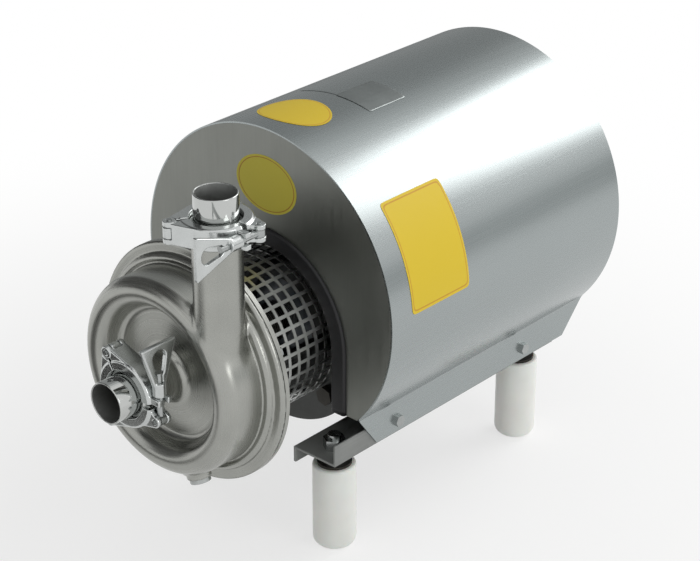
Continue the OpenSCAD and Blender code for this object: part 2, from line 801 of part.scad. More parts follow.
module hood_front_plate() {
  color("gray") difference() {
    translate([0, -hood_front + hood_t, 0]) hood_plate();
    on_shaft(hood_front - 10) linear_extrude(20) arch(arch_r);
  }
}

module hood_rear_plate() {
  slots = 11;
  slot_pitch = 16;
  color("silver") difference() {
    translate([0, hood_rear, 0]) hood_plate();
    for (i = [0:slots - 1]) translate([(i - (slots - 1) / 2) * slot_pitch - 3, hood_rear - 10, shaft_h - 40])
      cube([6, 20, 110]);
  }
}

// Rubber channel pushed over the arch's edge, with a lip on each face of the plate
module arch_trim() {
  lip = 3;
  color("black") intersection() {
    on_shaft() difference() {
      translate([0, 0, hood_front - hood_t - lip]) linear_extrude(hood_t + 2 * lip) difference() {
        arch(trim_out);
        arch(trim_in);
      }
      translate([0, 0, hood_front - hood_t]) linear_extrude(hood_t) difference() {
        arch(trim_out + eps);
        arch(arch_r);
      }
    }
    translate([-hood_r, -hood_r, bend_z]) cube([2 * hood_r, 2 * hood_r, 2 * hood_r]);
  }
}

module hood_bolts() {
  color("lightgray") for (s = [0, 1], st = hood_bolt_stations) mirror([s, 0, 0])
    translate([skirt_x, -st, hood_bolt_z]) rotate([0, 90, 0]) {
      hex(10, 4);
      translate([0, 0, -hood_t - rail_t - 6]) cylinder(r = hood_bolt_r, h = hood_t + rail_t + 7);
      translate([0, 0, -hood_t - rail_t - 5]) hex(10, 5);
    }
}

// Bent rail: flange up at the hood, flat web over the feet, lip down on the inside
module rail() {
  color("gray") difference() {
    translate([0, rail_len - rail_front, 0]) rotate([90, 0, 0]) linear_extrude(rail_len)
      polygon([[rail_in, web_bottom - rail_lip], [rail_in + rail_t, web_bottom - rail_lip],
        [rail_in + rail_t, web_bottom], [rail_out, web_bottom], [rail_out, web_top + rail_up],
        [rail_out - rail_t, web_top + rail_up], [rail_out - rail_t, web_top], [rail_in, web_top]]);
    for (st = foot_stations) translate([foot_x, -st, web_bottom - eps]) cylinder(r = stud_r + gap, h = rail_t + 2 * eps);
    for (st = foot_bolt_stations) translate([foot_bolt_x, -st, web_bottom - eps])
      cylinder(r = foot_bolt_r + gap, h = rail_t + 2 * eps);
    for (st = hood_bolt_stations) translate([rail_out - 10, -st, hood_bolt_z]) rotate([0, 90, 0])
      cylinder(r = hood_bolt_r + gap, h = 20);
  }
}

module right_rail() {
  rail();
}

module left_rail() {
  mirror([1, 0, 0]) rail();
}

// Places children at each foot
module at_feet() {
  for (s = [-1, 1], st = foot_stations) translate([s * foot_x, -st, 0]) children();
}

module feet() {
  r = foot_d / 2;
  round_r = 9;
  edge_r = 2.5;
  color("white") at_feet() difference() {
    rotate_extrude() polygon(concat([[0, 0]], arc(r - round_r, round_r, round_r, -90, 0, 8),
      arc(r - edge_r, foot_h - edge_r, edge_r, 0, 90, 4), [[0, foot_h]]));
    translate([0, 0, foot_h - 30]) cylinder(r = stud_r, h = 40);
  }
}

module foot_studs() {
  color("silver") at_feet() translate([0, 0, foot_h - 30]) cylinder(r = stud_r - run, h = web_top + 14 - foot_h + 30);
}

module foot_nuts() {
  color("lightgray") at_feet() for (z = [web_bottom - nut_t, web_top]) translate([0, 0, z]) difference() {
    hex(18, nut_t);
    translate([0, 0, -eps]) cylinder(r = stud_r, h = nut_t + 2 * eps);
  }
}

module foot_washers() {
  color("dimgray") at_feet() ring(16, stud_r + gap, foot_h, foot_h + washer_t);
}

volute_casing();
inlet_neck();
casing_o_ring();
back_plate();
casing_bolts();
drain_plug();
impeller();
impeller_nut();
pump_shaft();
seal_seat();
seal_ring();
adapter_lantern();
coupling_guard();
guard_screws();
at_inlet() ferrule();  // inlet_ferrule
at_inlet() gasket();  // inlet_gasket
at_inlet() middle_jaw();  // inlet_middle_jaw
at_inlet() nut_jaw();  // inlet_nut_jaw
at_inlet() bolt_jaw();  // inlet_bolt_jaw
at_inlet() hinge_pins();  // inlet_hinge_pins
at_inlet() swing_bolt();  // inlet_swing_bolt
at_inlet() bolt_pin();  // inlet_bolt_pin
at_inlet() wing_nut();  // inlet_wing_nut
at_outlet() mirror([0, 0, 1]) ferrule();  // outlet_ferrule
at_outlet() gasket();  // outlet_gasket
at_outlet() middle_jaw();  // outlet_middle_jaw
at_outlet() nut_jaw();  // outlet_nut_jaw
at_outlet() bolt_jaw();  // outlet_bolt_jaw
at_outlet() hinge_pins();  // outlet_hinge_pins
at_outlet() swing_bolt();  // outlet_swing_bolt
at_outlet() bolt_pin();  // outlet_bolt_pin
at_outlet() wing_nut();  // outlet_wing_nut
motor_frame();
motor_front_shield();
motor_rear_shield();
motor_stator();
motor_rotor();
motor_shaft();
motor_front_bearing();
motor_rear_bearing();
motor_fan();
motor_fan_cowl();
terminal_box();
terminal_lid();
motor_foot_bolts();
motor_flange_bolts();
hood_wrapper();
hood_front_plate();
hood_rear_plate();
arch_trim();
hood_bolts();
left_rail();
right_rail();
feet();
foot_studs();
foot_nuts();
foot_washers();
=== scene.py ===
"""Sanitary centrifugal pump: the finish of every piece and the modelled shells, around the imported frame.

Sizes are in millimetres in the classes and become metres when a mesh is made. The shaft runs along Y, with
the inlet at -Y, and a station is a distance forward of the origin, so a station s lies at y = -s.
"""
import logging
import math
from dataclasses import dataclass, field
from enum import Enum
from itertools import product
from typing import Any, ClassVar, Optional

import bmesh
import bpy
import numpy as np
from mathutils import Matrix, Vector


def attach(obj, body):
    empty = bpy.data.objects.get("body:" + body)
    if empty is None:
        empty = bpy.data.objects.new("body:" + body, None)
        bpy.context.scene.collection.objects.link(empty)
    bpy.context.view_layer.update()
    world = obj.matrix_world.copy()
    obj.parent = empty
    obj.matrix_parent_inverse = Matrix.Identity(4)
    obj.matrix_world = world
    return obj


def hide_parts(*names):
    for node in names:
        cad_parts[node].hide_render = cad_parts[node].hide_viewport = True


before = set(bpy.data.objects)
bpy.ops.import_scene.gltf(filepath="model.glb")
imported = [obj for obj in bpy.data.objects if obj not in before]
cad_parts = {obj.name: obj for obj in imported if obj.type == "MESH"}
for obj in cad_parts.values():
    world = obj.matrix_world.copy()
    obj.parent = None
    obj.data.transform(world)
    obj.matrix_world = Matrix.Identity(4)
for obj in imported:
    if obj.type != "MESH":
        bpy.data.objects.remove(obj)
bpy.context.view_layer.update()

Array = np.ndarray
Place = tuple[float, float, float]
MM = 0.001
SHAFT_H = 190.0
# Clamp flange of every tube joint: its radius, its thickness at the edge and the slope of its back
RIM_R = 25.25
RIM_T = 2.85
RIM_SLOPE = 0.364
# Most values of a noise texture lie between these two
NOISE_LOW = 0.3
NOISE_HIGH = 0.7
LEAST_ROUGHNESS = 0.02
# Colour sockets of a Mix node go by number, because its other sockets share their names
MIX_A = 6
MIX_B = 7
MIX_RESULT = 2
SHARE_MAP = "share"
# Points nearer than this, in metres, are one
SAME_POINT = 1e-6
log = logging.getLogger("pump")


class Axis(Enum):
    """Direction of a revolved piece's axis in the machine's frame."""

    FORWARD = "forward"
    UP = "up"


def linear(hex_colour: str) -> tuple[float, float, float, float]:
    """Turns an sRGB hex colour into linear RGBA.

    Args:
        hex_colour: six hex digits.

    Returns:
        Linear red, green, blue and an alpha of 1.
    """
    parts = [int(hex_colour[i:i + 2], 16) / 255 for i in (0, 2, 4)]
    red, green, blue = (c / 12.92 if c <= 0.04045 else ((c + 0.055) / 1.055) ** 2.4 for c in parts)
    return red, green, blue, 1.0


def add_node(tree: bpy.types.NodeTree, kind: str, inputs: Optional[dict] = None,
             **settings: Any) -> bpy.types.Node:
    """Adds a node with its settings, and links or sets its inputs.

    Args:
        tree: the node tree.
        kind: the node's type name.
        inputs: socket name or number, with an output socket to link or a value to set.
        settings: attributes of the node.

    Returns:
        The new node.
    """
    node = tree.nodes.new(kind)
    for key, value in settings.items():
        setattr(node, key, value)
    for key, value in (inputs or {}).items():
        if isinstance(value, bpy.types.NodeSocket):
            tree.links.new(value, node.inputs[key])
        else:
            node.inputs[key].default_value = value
    return node


def put_in_scene(name: str, data: bpy.types.ID) -> bpy.types.Object:
    """Makes an object of a mesh, a lamp or a camera and puts it into the scene.

    Args:
        name: the object's name.
        data: what it shows.

    Returns:
        The new object.
    """
    made = bpy.data.objects.new(name, data)
    bpy.context.scene.collection.objects.link(made)
    return made


def bare_tree(owner: bpy.types.Material | bpy.types.World) -> bpy.types.NodeTree:
    """Returns the emptied node tree of a new material or world."""
    owner.use_nodes = True
    owner.node_tree.nodes.clear()
    return owner.node_tree


def flat_sheet(name: str, corners: tuple[Place, ...], material: bpy.types.Material) -> bpy.types.Object:
    """Lays one flat face between four corners.

    Args:
        name: the sheet's name.
        corners: its corners in metres.
        material: what it wears.

    Returns:
        The new object.
    """
    mesh = bpy.data.meshes.new(name)
    mesh.from_pydata(corners, [], [(0, 1, 2, 3)])
    mesh.materials.append(material)
    return put_in_scene(name, mesh)


def seen_ray(tree: bpy.types.NodeTree) -> bpy.types.NodeSocket:
    """Adds nodes that tell the rays that show the background: from the camera, off metal or through glass.

    Args:
        tree: the node tree.

    Returns:
        A value of 1 for such a ray and of 0 for any other.
    """
    path = add_node(tree, "ShaderNodeLightPath")
    seen = path.outputs["Is Camera Ray"]
    for kind in ("Is Glossy Ray", "Is Transmission Ray"):
        either = add_node(tree, "ShaderNodeMath", {0: seen, 1: path.outputs[kind]}, operation="MAXIMUM")
        seen = either.outputs["Value"]
    return seen


def arc(x: float, y: float, r: float, start: float, end: float, steps: int) -> Array:
    """Points on a circle about (x, y), at even angles from start to end in degrees.

    Args:
        x: first coordinate of the centre.
        y: second coordinate of the centre.
        r: radius.
        start: first angle in degrees.
        end: last angle in degrees.
        steps: number of chords.

    Returns:
        Array of steps + 1 points.
    """
    turn = np.radians(np.linspace(start, end, steps + 1))
    return np.stack([x + r * np.cos(turn), y + r * np.sin(turn)], axis=1)


def bent(begin: Array, corner: Array, end: Array, count: int) -> Array:
    """Points on a smooth bend: (1-t)^2 A + 2t(1-t) B + t^2 C, with t from 0 to 1.

    Args:
        begin: the first point, A.
        corner: the corner that both ends point to, B.
        end: the last point, C.
        count: number of points.

    Returns:
        Array of points.
    """
    share = np.linspace(0, 1, count)[:, None]
    return (1 - share) ** 2 * begin + 2 * share * (1 - share) * corner + share ** 2 * end


def grid_faces(rows: int, columns: int, wrap_rows: bool, wrap_columns: bool) -> Array:
    """Quads between neighbouring points of a grid, closed round where a direction wraps.

    Args:
        rows: points in the first direction.
        columns: points in the second direction.
        wrap_rows: joins the last row to the first.
        wrap_columns: joins the last column to the first.

    Returns:
        Array of four point numbers for each quad.
    """
    i, j = np.meshgrid(np.arange(rows if wrap_rows else rows - 1),
                       np.arange(columns if wrap_columns else columns - 1), indexing="ij")
    below, beside = (i + 1) % rows, (j + 1) % columns
    corners = [i * columns + j, below * columns + j, below * columns + beside, i * columns + beside]
    return np.stack(corners, axis=-1).reshape(-1, 4)


def make_piece(name: str, points: Array, faces: Array, body: str, finish: "Finish",
               replaces: tuple[str, ...] = (), closed: bool = True) -> bpy.types.Object:
    """Puts points and faces into a smooth mesh object that rides on a body and wears a finish.

    Args:
        name: the piece's name.
        points: point array in millimetres.
        faces: array of quads.
        body: the body that it moves with.
        finish: the finish it wears.
        replaces: nodes that it stands for.
        closed: merges doubled points and turns the faces outwards.

    Returns:
        The new object.
    """
    mesh = bpy.data.meshes.new(name)
    mesh.from_pydata((points.reshape(-1, 3) * MM).tolist(), [], faces.tolist())
    mesh.update()
    if closed:
        work = bmesh.new()
        work.from_mesh(mesh)
        bmesh.ops.remove_doubles(work, verts=work.verts, dist=SAME_POINT)
        bmesh.ops.recalc_face_normals(work, faces=work.faces)
        work.to_mesh(mesh)
        work.free()
    mesh.shade_smooth()
    piece = put_in_scene(name, mesh)
    mesh.materials.append(finish.material())
    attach(piece, body)
    if replaces:
        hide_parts(*replaces)
    log.info("piece %s: %d points, %s", name, len(mesh.vertices), finish.name)
    return piece


def keep_sharp(piece: bpy.types.Object, angle: float) -> None:
    """Keeps the shading of edges that turn more than an angle crisp.

    Args:
        piece: the object.
        angle: the angle in degrees.
    """
    split = piece.modifiers.new("edges", "EDGE_SPLIT")
    split.split_angle = math.radians(angle)


def revolved(profile: Array, centre: Place, axis: Axis, turns: int) -> Array:
    """Carries a profile of (radius, distance along the axis) round an axis.

    A point at angle t lies at centre + radius * (cos t, sin t) across the axis and its distance along it.

    Args:
        profile: points of (radius, distance).
        centre: a point on the axis.
        axis: the axis' direction.
        turns: points round the circle.

    Returns:
        Grid of points, profile by turn.
    """
    turn = np.linspace(0, 2 * math.pi, turns, endpoint=False)
    across = profile[:, :1] * np.cos(turn)
    second = profile[:, :1] * np.sin(turn)
    along = np.repeat(profile[:, 1:], turns, axis=1)
    if axis is Axis.FORWARD:
        grid = np.stack([across, -along, second], axis=-1)
    else:
        grid = np.stack([across, second, along], axis=-1)
    return grid + np.array(centre)


def polygon_field(outline: Array, u: Array, v: Array) -> Array:
    """Signed distance from points to a closed outline, negative inside.

    The size is the least distance to any edge. The sign turns with each edge that a ray along u crosses.

    Args:
        outline: corner points in order.
        u: first coordinates.
        v: second coordinates.

    Returns:
        Distances in the shape of u.
    """
    least = np.full(u.shape, np.inf)
    sign = np.ones(u.shape)
    for (ax, ay), (bx, by) in zip(outline, np.roll(outline, -1, axis=0)):
        ex, ey = bx - ax, by - ay
        span = ex * ex + ey * ey
        if span == 0:
            continue
        share = np.clip(((u - ax) * ex + (v - ay) * ey) / span, 0, 1)
        least = np.minimum(least, (u - ax - share * ex) ** 2 + (v - ay - share * ey) ** 2)
        if ey != 0:
            crosses = ((ay > v) != (by > v)) & (u < ax + (v - ay) / ey * ex)
            sign = np.where(crosses, -sign, sign)
    return sign * np.sqrt(least)


def blended(first: Array, second: Array, reach: float) -> Array:
    """Union of two distance fields, with a fillet where they meet.

    Where the fields differ by less than reach, a share n = 1 - difference / reach takes n^2 * reach / 4 off
    the lesser of them.

    Args:
        first: one field.
        second: the other field.
        reach: about twice the fillet's radius.

    Returns:
        The joined field.
    """
    near = np.maximum(reach - np.abs(first - second), 0) / reach
    return np.minimum(first, second) - near * near * reach / 4


def surface_net(values: Array, low: Array, step: float) -> tuple[Array, Array]:
    """Closed quad surface where a field on a grid changes sign.

    Each cell that the surface crosses gets one point, the mean of the crossings on its twelve edges. Each
    grid edge with a change of sign gets the quad of the four cells round it.

    Args:
        values: field on a grid of points.
        low: place of the grid's first point.
        step: grid spacing.

    Returns:
        Points and quads.
    """
    inside = values < 0
    cells = np.array(values.shape) - 1
    count = np.zeros(cells, np.int8)
    for a, b, c in product((0, 1), repeat=3):
        count += inside[a:a + cells[0], b:b + cells[1], c:c + cells[2]]
    active = np.argwhere((count > 0) & (count < 8))
    number = np.full(cells, -1, np.int64)
    number[tuple(active.T)] = np.arange(len(active))
    total = np.zeros((len(active), 3))
    hits = np.zeros(len(active))
    quads = []
    for axis in range(3):
        side, other = (axis + 1) % 3, (axis + 2) % 3
        along = np.eye(3, dtype=int)[axis]
        for p, q in product((0, 1), repeat=2):
            offset = p * np.eye(3, dtype=int)[side] + q * np.eye(3, dtype=int)[other]
            start = values[tuple((active + offset).T)]
            end = values[tuple((active + offset + along).T)]
            crossing = (start < 0) != (end < 0)
            share = np.where(crossing, start / np.where(crossing, start - end, 1), 0)
            total += crossing[:, None] * (offset + share[:, None] * along)
            hits += crossing
        here = np.argwhere(np.diff(inside.astype(np.int8), axis=axis) != 0)
        fits = (here[:, side] > 0) & (here[:, other] > 0)
        fits &= (here[:, side] < cells[side]) & (here[:, other] < cells[other])
        here = here[fits]
        one, two = np.eye(3, dtype=int)[side], np.eye(3, dtype=int)[other]
        loop = [here - one - two, here - two, here, here - one]
        quad = np.stack([number[tuple(cell.T)] for cell in loop], axis=1)
        outward = inside[tuple(here.T)]
        quads.append(np.where(outward[:, None], quad, quad[:, ::-1]))
    return low + step * (active + total / hits[:, None]), np.concatenate(quads)


@dataclass(frozen=True)
class Finish:
    """A surface finish with fine grain, in millimetres, and slow clouds of tone.

    Brushing and turning leave lines of about 0.1 mm, too fine to show, so they are drawn about 1 mm wide.
    """

    name: str
    colour: str
    roughness: float
    metallic: float = 0.0
    grain: tuple[float, float, float] = (0.8, 0.8, 0.8)
    grain_depth: float = 0.01
    gloss_spread: float = 0.06
    tone_spread: float = 0.06
    cloud: float = 45.0
    coat: float = 0.0
    subsurface: float = 0.0

    def material(self) -> bpy.types.Material:
        """Makes the material on its first use and returns it."""
        found = bpy.data.materials.get(self.name)
        if found is not None:
            return found
        material = bpy.data.materials.new(self.name)
        tree = bare_tree(material)
        shader = add_node(tree, "ShaderNodeBsdfPrincipled", {
            "Base Color": linear(self.colour), "Roughness": self.roughness, "Metallic": self.metallic,
            "Coat Weight": self.coat, "Subsurface Weight": self.subsurface})
        add_node(tree, "ShaderNodeOutputMaterial", {"Surface": shader.outputs["BSDF"]})
        place = self.coordinates(tree)
        self.grain_nodes(tree, shader, place)
        self.tone_nodes(tree, shader)
        return material

    def coordinates(self, tree: bpy.types.NodeTree) -> bpy.types.NodeSocket:
        """Returns the coordinates, in metres, that the grain follows."""
        return add_node(tree, "ShaderNodeTexCoord").outputs["Object"]

    def grain_nodes(self, tree: bpy.types.NodeTree, shader: bpy.types.Node,
                    place: bpy.types.NodeSocket) -> None:
        """Adds the fine grain, as bump and as a spread of roughness.

        Args:
            tree: the material's tree.
            shader: its shader.
            place: coordinates in metres.
        """
        stretch = [1 / (length * MM) for length in self.grain]
        mapped = add_node(tree, "ShaderNodeMapping", {"Vector": place, "Scale": stretch})
        noise = add_node(tree, "ShaderNodeTexNoise", {
            "Vector": mapped.outputs["Vector"], "Scale": 1.0, "Detail": 3.0})
        bump = add_node(tree, "ShaderNodeBump", {
            "Height": noise.outputs["Fac"], "Strength": 1.0, "Distance": self.grain_depth * MM})
        tree.links.new(bump.outputs["Normal"], shader.inputs["Normal"])
        gloss = add_node(tree, "ShaderNodeMapRange", {
            "Value": noise.outputs["Fac"], "From Min": NOISE_LOW, "From Max": NOISE_HIGH,
            "To Min": max(self.roughness - self.gloss_spread, LEAST_ROUGHNESS),
            "To Max": self.roughness + self.gloss_spread})
        tree.links.new(gloss.outputs["Result"], shader.inputs["Roughness"])

    def tone_nodes(self, tree: bpy.types.NodeTree, shader: bpy.types.Node) -> None:
        """Adds slow clouds that darken the colour a little, as handling and polishing do.

        Args:
            tree: the material's tree.
            shader: its shader.
        """
        place = add_node(tree, "ShaderNodeTexCoord").outputs["Object"]
        clouds = add_node(tree, "ShaderNodeTexNoise", {
            "Vector": place, "Scale": 1 / (self.cloud * MM), "Detail": 4.0})
        share = add_node(tree, "ShaderNodeMapRange", {
            "Value": clouds.outputs["Fac"], "From Min": NOISE_LOW, "From Max": NOISE_HIGH,
            "To Min": 0.0, "To Max": 1.0})
        plain = linear(self.colour)
        dark = tuple(c * (1 - 2 * self.tone_spread) for c in plain[:3]) + (1.0,)
        tone = add_node(tree, "ShaderNodeMix", {0: share.outputs["Result"], MIX_A: plain, MIX_B: dark},
                        data_type="RGBA")
        tree.links.new(tone.outputs[MIX_RESULT], shader.inputs["Base Color"])


@dataclass(frozen=True)
class TurnedFinish(Finish):
    """A finish polished on the lathe, whose grain follows circles about the shaft."""

    shaft_height: float = SHAFT_H

    def coordinates(self, tree: bpy.types.NodeTree) -> bpy.types.NodeSocket:
        """Returns (radius, station, 0) about the shaft, in metres."""
        place = add_node(tree, "ShaderNodeTexCoord").outputs["Object"]
        parts = add_node(tree, "ShaderNodeSeparateXYZ", {"Vector": place})
        height = add_node(tree, "ShaderNodeMath", {0: parts.outputs["Z"], 1: self.shaft_height * MM},
                          operation="SUBTRACT")
        across = add_node(tree, "ShaderNodeCombineXYZ", {
            "X": parts.outputs["X"], "Y": height.outputs["Value"]})
        radius = add_node(tree, "ShaderNodeVectorMath", {0: across.outputs["Vector"]}, operation="LENGTH")
        joined = add_node(tree, "ShaderNodeCombineXYZ", {
            "X": radius.outputs["Value"], "Y": parts.outputs["Y"]})
        return joined.outputs["Vector"]


@dataclass(frozen=True)
class LabelFinish(Finish):
    """Printed vinyl with a thin border line that follows its edge.

    The piece's UV map holds (share of the radius, 0).
    """

    border: str = "B8860B"
    line_from: float = 0.93
    line_to: float = 0.955

    def tone_nodes(self, tree: bpy.types.NodeTree, shader: bpy.types.Node) -> None:
        """Draws the border between two shares of the radius.

        Args:
            tree: the material's tree.
            shader: its shader.
        """
        place = add_node(tree, "ShaderNodeUVMap", uv_map=SHARE_MAP).outputs["UV"]
        share = add_node(tree, "ShaderNodeSeparateXYZ", {"Vector": place}).outputs["X"]
        over = add_node(tree, "ShaderNodeMath", {0: share, 1: self.line_from}, operation="GREATER_THAN")
        under = add_node(tree, "ShaderNodeMath", {0: share, 1: self.line_to}, operation="LESS_THAN")
        both = add_node(tree, "ShaderNodeMath", {0: over.outputs["Value"], 1: under.outputs["Value"]},
                        operation="MULTIPLY")
        tone = add_node(tree, "ShaderNodeMix", {
            0: both.outputs["Value"], MIX_A: linear(self.colour), MIX_B: linear(self.border)},
            data_type="RGBA")
        tree.links.new(tone.outputs[MIX_RESULT], shader.inputs["Base Color"])


# The numbers of a finish stand in the order of its fields: roughness, metallic, grain, grain depth, spread of
# gloss, spread of tone and size of the clouds.

# Stainless sheet, brushed along the machine: long faint streaks and a soft, broad reflection
HOOD_STEEL = Finish("brushed_stainless_hood", "A2A8A8", 0.27, 1.0, (1.2, 90.0, 1.2),
                    0.0015, 0.02, 0.015, 120.0)
# Stainless sheet with a dull mill finish: flat grey with little reflection
PLATE_STEEL = Finish("dull_stainless_plate", "888A85", 0.4, 1.0, (1.2, 1.2, 40.0), 0.006, 0.05, 0.04, 70.0)
# Stainless casting, satin polished on the lathe: circles that catch light and soft dark reflections
CASING_STEEL = TurnedFinish("satin_turned_casing", "A6A7A2", 0.29, 1.0, (1.0, 1.0, 1.0),
                            0.004, 0.05, 0.05, 35.0)
# Stainless tube, mirror polished: sharp reflections with faint drawing waves
MIRROR_STEEL = Finish("mirror_polished_tube", "BFC1BF", 0.08, 1.0, (6.0, 6.0, 6.0), 0.006, 0.03, 0.03, 30.0)
# Drawn bore of the tube ends: dull, so that it stays grey down inside
BORE_STEEL = Finish("drawn_tube_bore", "A9ABA9", 0.5, 1.0, (1.5, 1.5, 1.5), 0.01, 0.06, 0.05, 20.0)
# Stainless investment casting, tumbled bright: rounded edges and a fine uneven skin
CAST_STEEL = Finish("tumbled_cast_clamp", "C6C9C8", 0.22, 1.0, (1.4, 1.4, 1.4), 0.012, 0.05, 0.04, 12.0)
# Bright stainless fasteners: small clear reflections and a few dark specks
FASTENER_STEEL = Finish("bright_stainless_fastener", "AEB1B0", 0.22, 1.0, (0.9, 0.9, 0.9),
                        0.008, 0.06, 0.08, 8.0)
# Turned steel: fine rings that spread the reflection
MACHINED_STEEL = TurnedFinish("turned_shaft_steel", "B4B3AE", 0.26, 1.0, (0.6, 0.6, 0.6),
                              0.006, 0.06, 0.05, 20.0)
# Lapped seal face in carbon: near black with a low sheen
SEAL_CARBON = Finish("lapped_seal_carbon", "3A3A3C", 0.35, 0.0, (0.5, 0.5, 0.5), 0.003, 0.05, 0.1, 8.0)
# Extruded rubber edging: black, softly shining along its rounded lips
RUBBER = Finish("black_rubber_edging", "17171A", 0.5, 0.0, (0.9, 0.9, 0.9), 0.03, 0.1, 0.15, 25.0)
# Moulded gasket rubber: white, matt
GASKET = Finish("white_gasket_rubber", "E6E4DE", 0.6, 0.0, (0.7, 0.7, 0.7), 0.02, 0.08, 0.05, 15.0)
# Machined steel of the lantern, darkened as painted shade under the guard: plain dark grey with tool marks
SHADED_LANTERN_STEEL = Finish("lantern_steel_painted_shade", "4A4B4A", 0.38, 1.0, (0.9, 0.9, 0.9),
                       0.01, 0.08, 0.08, 25.0)
# Perforated stainless sheet, rolled: bright webs between dark holes
PERFORATED_STEEL = Finish("perforated_stainless_sheet", "DADCDA", 0.34, 1.0, (1.0, 12.0, 1.0),
                          0.004, 0.05, 0.06, 18.0)
# Sprayed enamel on cast iron: grey with orange peel
MOTOR_ENAMEL = Finish("grey_motor_enamel", "5C646B", 0.4, 0.0, (1.6, 1.6, 1.6),
                      0.05, 0.08, 0.08, 40.0, coat=0.2)
# Varnished copper windings: brown gloss
COPPER = Finish("varnished_copper_winding", "A2592D", 0.3, 0.8, (1.0, 14.0, 1.0), 0.2, 0.08, 0.15, 12.0)
# Moulded fan plastic: black, slightly grained
FAN_PLASTIC = Finish("black_fan_plastic", "1E1F21", 0.45, 0.0, (1.2, 1.2, 1.2), 0.03, 0.08, 0.1, 20.0)
# Bent sheet of the rails: darker, half dull steel that keeps some light in the shade
RAIL_STEEL = Finish("satin_rail_steel", "919391", 0.6, 0.45, (1.2, 60.0, 1.2), 0.006, 0.06, 0.07, 30.0)
# Turned polyethylene feet: milky white with a soft edge to the shadows
FOOT_PLASTIC = Finish("white_polyethylene_foot", "F4F5F0", 0.36, 0.0, (1.5, 1.5, 1.5),
                      0.01, 0.06, 0.02, 20.0, subsurface=0.08)
# Steel washers and bolts: nearly black, with a faint shine
DARK_WASHER = Finish("near_black_washer_steel", "3B3935", 0.4, 0.8, (1.0, 1.0, 1.0), 0.02, 0.08, 0.12, 8.0)
# Satin vinyl label: warm yellow with an orange border line
YELLOW_VINYL = LabelFinish("yellow_vinyl_label", "E2C424", 0.55, 0.0, (2.0, 2.0, 2.0),
                           0.01, 0.05, border="CF9A22")
# Matt vinyl of the front label, yellow darkened by painted shade: a greener yellow with a brown border line
SHADED_FRONT_VINYL = LabelFinish("front_vinyl_painted_shade", "C0B43B", 0.6, 0.0, (2.0, 2.0, 2.0),
                          0.01, 0.05, border="A07420", line_from=0.9, line_to=0.93)
# Etched aluminium plate, left bare: pale grey with a soft sheen
BARE_PLATE = Finish("bare_etched_plate", "969B9A", 0.36, 1.0, (1.0, 30.0, 1.0), 0.01, 0.06, 0.06, 20.0)


